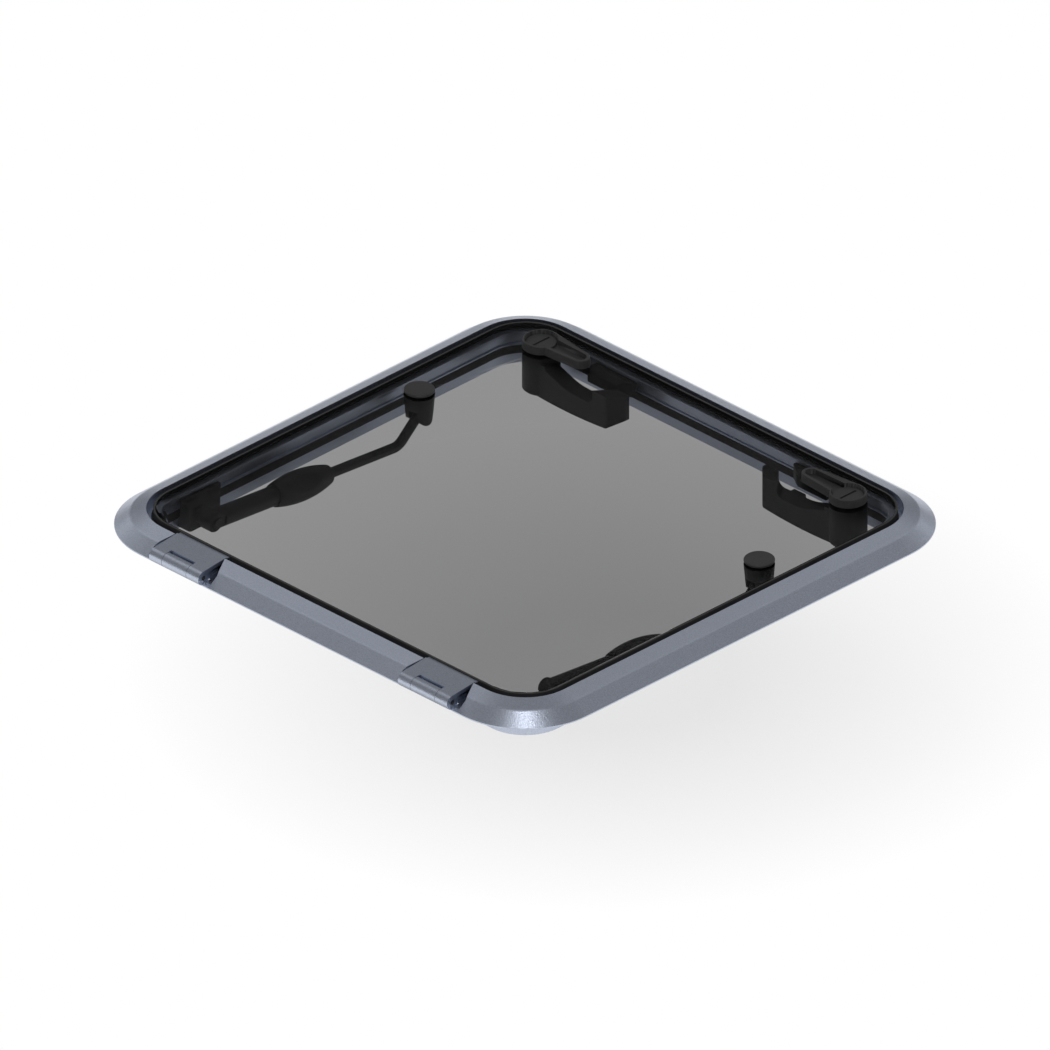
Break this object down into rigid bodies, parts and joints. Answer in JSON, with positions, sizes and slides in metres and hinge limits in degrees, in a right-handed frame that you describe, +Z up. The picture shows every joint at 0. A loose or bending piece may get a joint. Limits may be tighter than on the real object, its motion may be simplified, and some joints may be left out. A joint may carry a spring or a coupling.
{
  "type": "deck hatch",
  "caption": "Flush square deck hatch with a hinged smoked lens, turning latch handles and sliding stays.",
  "frame": {"origin": "centre of the hatch on the deck plane, which is the flange's underside", "axes": "+Z up out of the deck, +Y from the hinges towards the handles, X along the hinge edge"},
  "size_m": [0.6, 0.605, 0.0659],
  "materials": {
    "frame_alloy": "grey metallic powder coat",
    "smoked_acrylic": "smoked clear acrylic, polished",
    "black_plastic": "moulded, fine satin",
    "black_rubber": "smooth seal rubber",
    "black_alloy": "black anodised",
    "steel": "stainless, turned"
  },
  "bodies": {
    "frame": {"frame": "frame_alloy", "frame_seal": "black_rubber", "trim_strip": "black_rubber", "hinge_screws": "steel", "bracket_screws": "steel", "keeper_screws": "steel", "hinge_base_left": "frame_alloy", "hinge_pin_left": "steel", "stay_bracket_left": "black_plastic", "stay_pivot_pin_left": "steel", "keeper_left": "black_plastic", "hinge_base_right": "frame_alloy", "hinge_pin_right": "steel", "stay_bracket_right": "black_plastic", "stay_pivot_pin_right": "steel", "keeper_right": "black_plastic"},
    "lid": {"lens": "smoked_acrylic", "edge_band": "black_plastic", "leaf_screws": "steel", "cap_gaskets": "black_rubber", "hinge_leaf_left": "frame_alloy", "lid_boss_left": "black_plastic", "lid_cap_left": "black_plastic", "handle_bush_left": "black_plastic", "hinge_leaf_right": "frame_alloy", "lid_boss_right": "black_plastic", "lid_cap_right": "black_plastic", "handle_bush_right": "black_plastic"},
    "handle_left": {"outer_handle_left": "black_plastic", "spindle_left": "steel", "inner_handle_left": "black_plastic", "handle_screw_left": "steel"},
    "lock_left": {"lock_disc_left": "black_plastic"},
    "stay_left": {"stay_tube_left": "black_alloy", "stay_eye_left": "black_plastic", "stay_collet_left": "black_plastic"},
    "rod_left": {"stay_rod_left": "black_alloy", "rod_pin_left": "steel"},
    "grip_left": {"stay_grip_left": "black_plastic"},
    "handle_right": {"outer_handle_right": "black_plastic", "spindle_right": "steel", "inner_handle_right": "black_plastic", "handle_screw_right": "steel"},
    "lock_right": {"lock_disc_right": "black_plastic"},
    "stay_right": {"stay_tube_right": "black_alloy", "stay_eye_right": "black_plastic", "stay_collet_right": "black_plastic"},
    "rod_right": {"stay_rod_right": "black_alloy", "rod_pin_right": "steel"},
    "grip_right": {"stay_grip_right": "black_plastic"}
  },
  "joints": [
    {"name": "lid_hinge", "type": "hinge", "parent": "frame", "child": "lid", "pos_m": [0, -0.2975, 0.0076], "axis": [1, 0, 0], "range_deg": [0, 75]},
    {"name": "handle_turn_left", "type": "hinge", "parent": "lid", "child": "handle_left", "pos_m": [-0.206, 0.228, 0.01], "axis": [0, 0, -1], "range_deg": [-4, 90]},
    {"name": "lock_turn_left", "type": "hinge", "parent": "handle_left", "child": "lock_left", "pos_m": [-0.206, 0.228, 0.024], "axis": [0, 0, -1], "range_deg": [0, 90]},
    {"name": "stay_swing_left", "type": "hinge", "parent": "frame", "child": "stay_left", "pos_m": [-0.227, -0.194, -0.0125], "axis": [1, 0, 0], "range_deg": [0, 89.1]},
    {"name": "stay_slide_left", "type": "slide", "parent": "stay_left", "child": "rod_left", "axis": [0, 0.9962, -0.0872], "range_m": [0, 0.1068]},
    {"name": "grip_twist_left", "type": "hinge", "parent": "stay_left", "child": "grip_left", "pos_m": [-0.227, -0.194, -0.0125], "axis": [0, 0.9962, -0.0872], "range_deg": [0, 90]},
    {"name": "handle_turn_right", "type": "hinge", "parent": "lid", "child": "handle_right", "pos_m": [0.206, 0.228, 0.01], "axis": [0, 0, 1], "range_deg": [-4, 90]},
    {"name": "lock_turn_right", "type": "hinge", "parent": "handle_right", "child": "lock_right", "pos_m": [0.206, 0.228, 0.024], "axis": [0, 0, 1], "range_deg": [0, 90]},
    {"name": "stay_swing_right", "type": "hinge", "parent": "frame", "child": "stay_right", "pos_m": [0.227, -0.194, -0.0125], "axis": [1, 0, 0], "range_deg": [0, 89.1]},
    {"name": "stay_slide_right", "type": "slide", "parent": "stay_right", "child": "rod_right", "axis": [0, 0.9962, -0.0872], "range_m": [0, 0.1068]},
    {"name": "grip_twist_right", "type": "hinge", "parent": "stay_right", "child": "grip_right", "pos_m": [0.227, -0.194, -0.0125], "axis": [0, 0.9962, -0.0872], "range_deg": [0, 90]}
  ],
  "couplings": [
    {"joint": "stay_swing_left", "follows": "lid_hinge", "ratio": 1.188},
    {"joint": "stay_slide_left", "follows": "lid_hinge", "m_per_rad": 0.081565},
    {"joint": "stay_swing_right", "follows": "lid_hinge", "ratio": 1.188},
    {"joint": "stay_slide_right", "follows": "lid_hinge", "m_per_rad": 0.081565}
  ]
}
